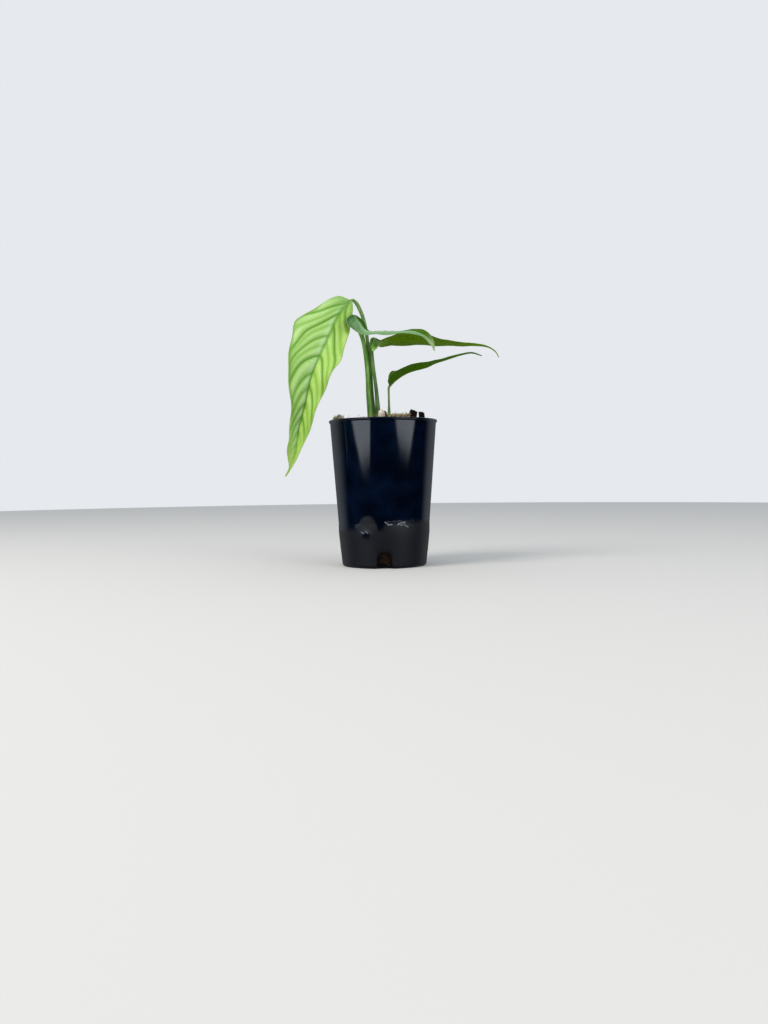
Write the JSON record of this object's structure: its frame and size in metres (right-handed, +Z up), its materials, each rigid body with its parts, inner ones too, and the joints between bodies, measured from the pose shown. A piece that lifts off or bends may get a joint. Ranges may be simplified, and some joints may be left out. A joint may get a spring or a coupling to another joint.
{
  "type": "potted monstera obliqua",
  "caption": "Young climbing aroid with a broad hanging leaf and slim arching leaves on thin petioles, in a tapered glossy nursery tube pot filled with bark mix.",
  "frame": {"origin": "centre of the pot's flat base", "axes": "+Z up; the plant's shown side faces -Y, and its slim leaves point to +X"},
  "size_m": [0.1555, 0.08, 0.1982],
  "materials": {
    "pot": "glossy, dusty near the foot",
    "mix": "rough bark",
    "rhizome": "matte",
    "petiole": "satin",
    "pale_blade": "satin",
    "dark_blade": "satin"
  },
  "bodies": {
    "root": {"pot": "pot", "potting_mix": "mix", "rhizome_roots": "rhizome", "petiole_hanging": "petiole", "leaf_hanging": "pale_blade", "petiole_long": "petiole", "leaf_long": "dark_blade", "petiole_curled": "petiole", "leaf_curled": "dark_blade", "petiole_small": "petiole", "leaf_small": "dark_blade"}
  },
  "joints": []
}
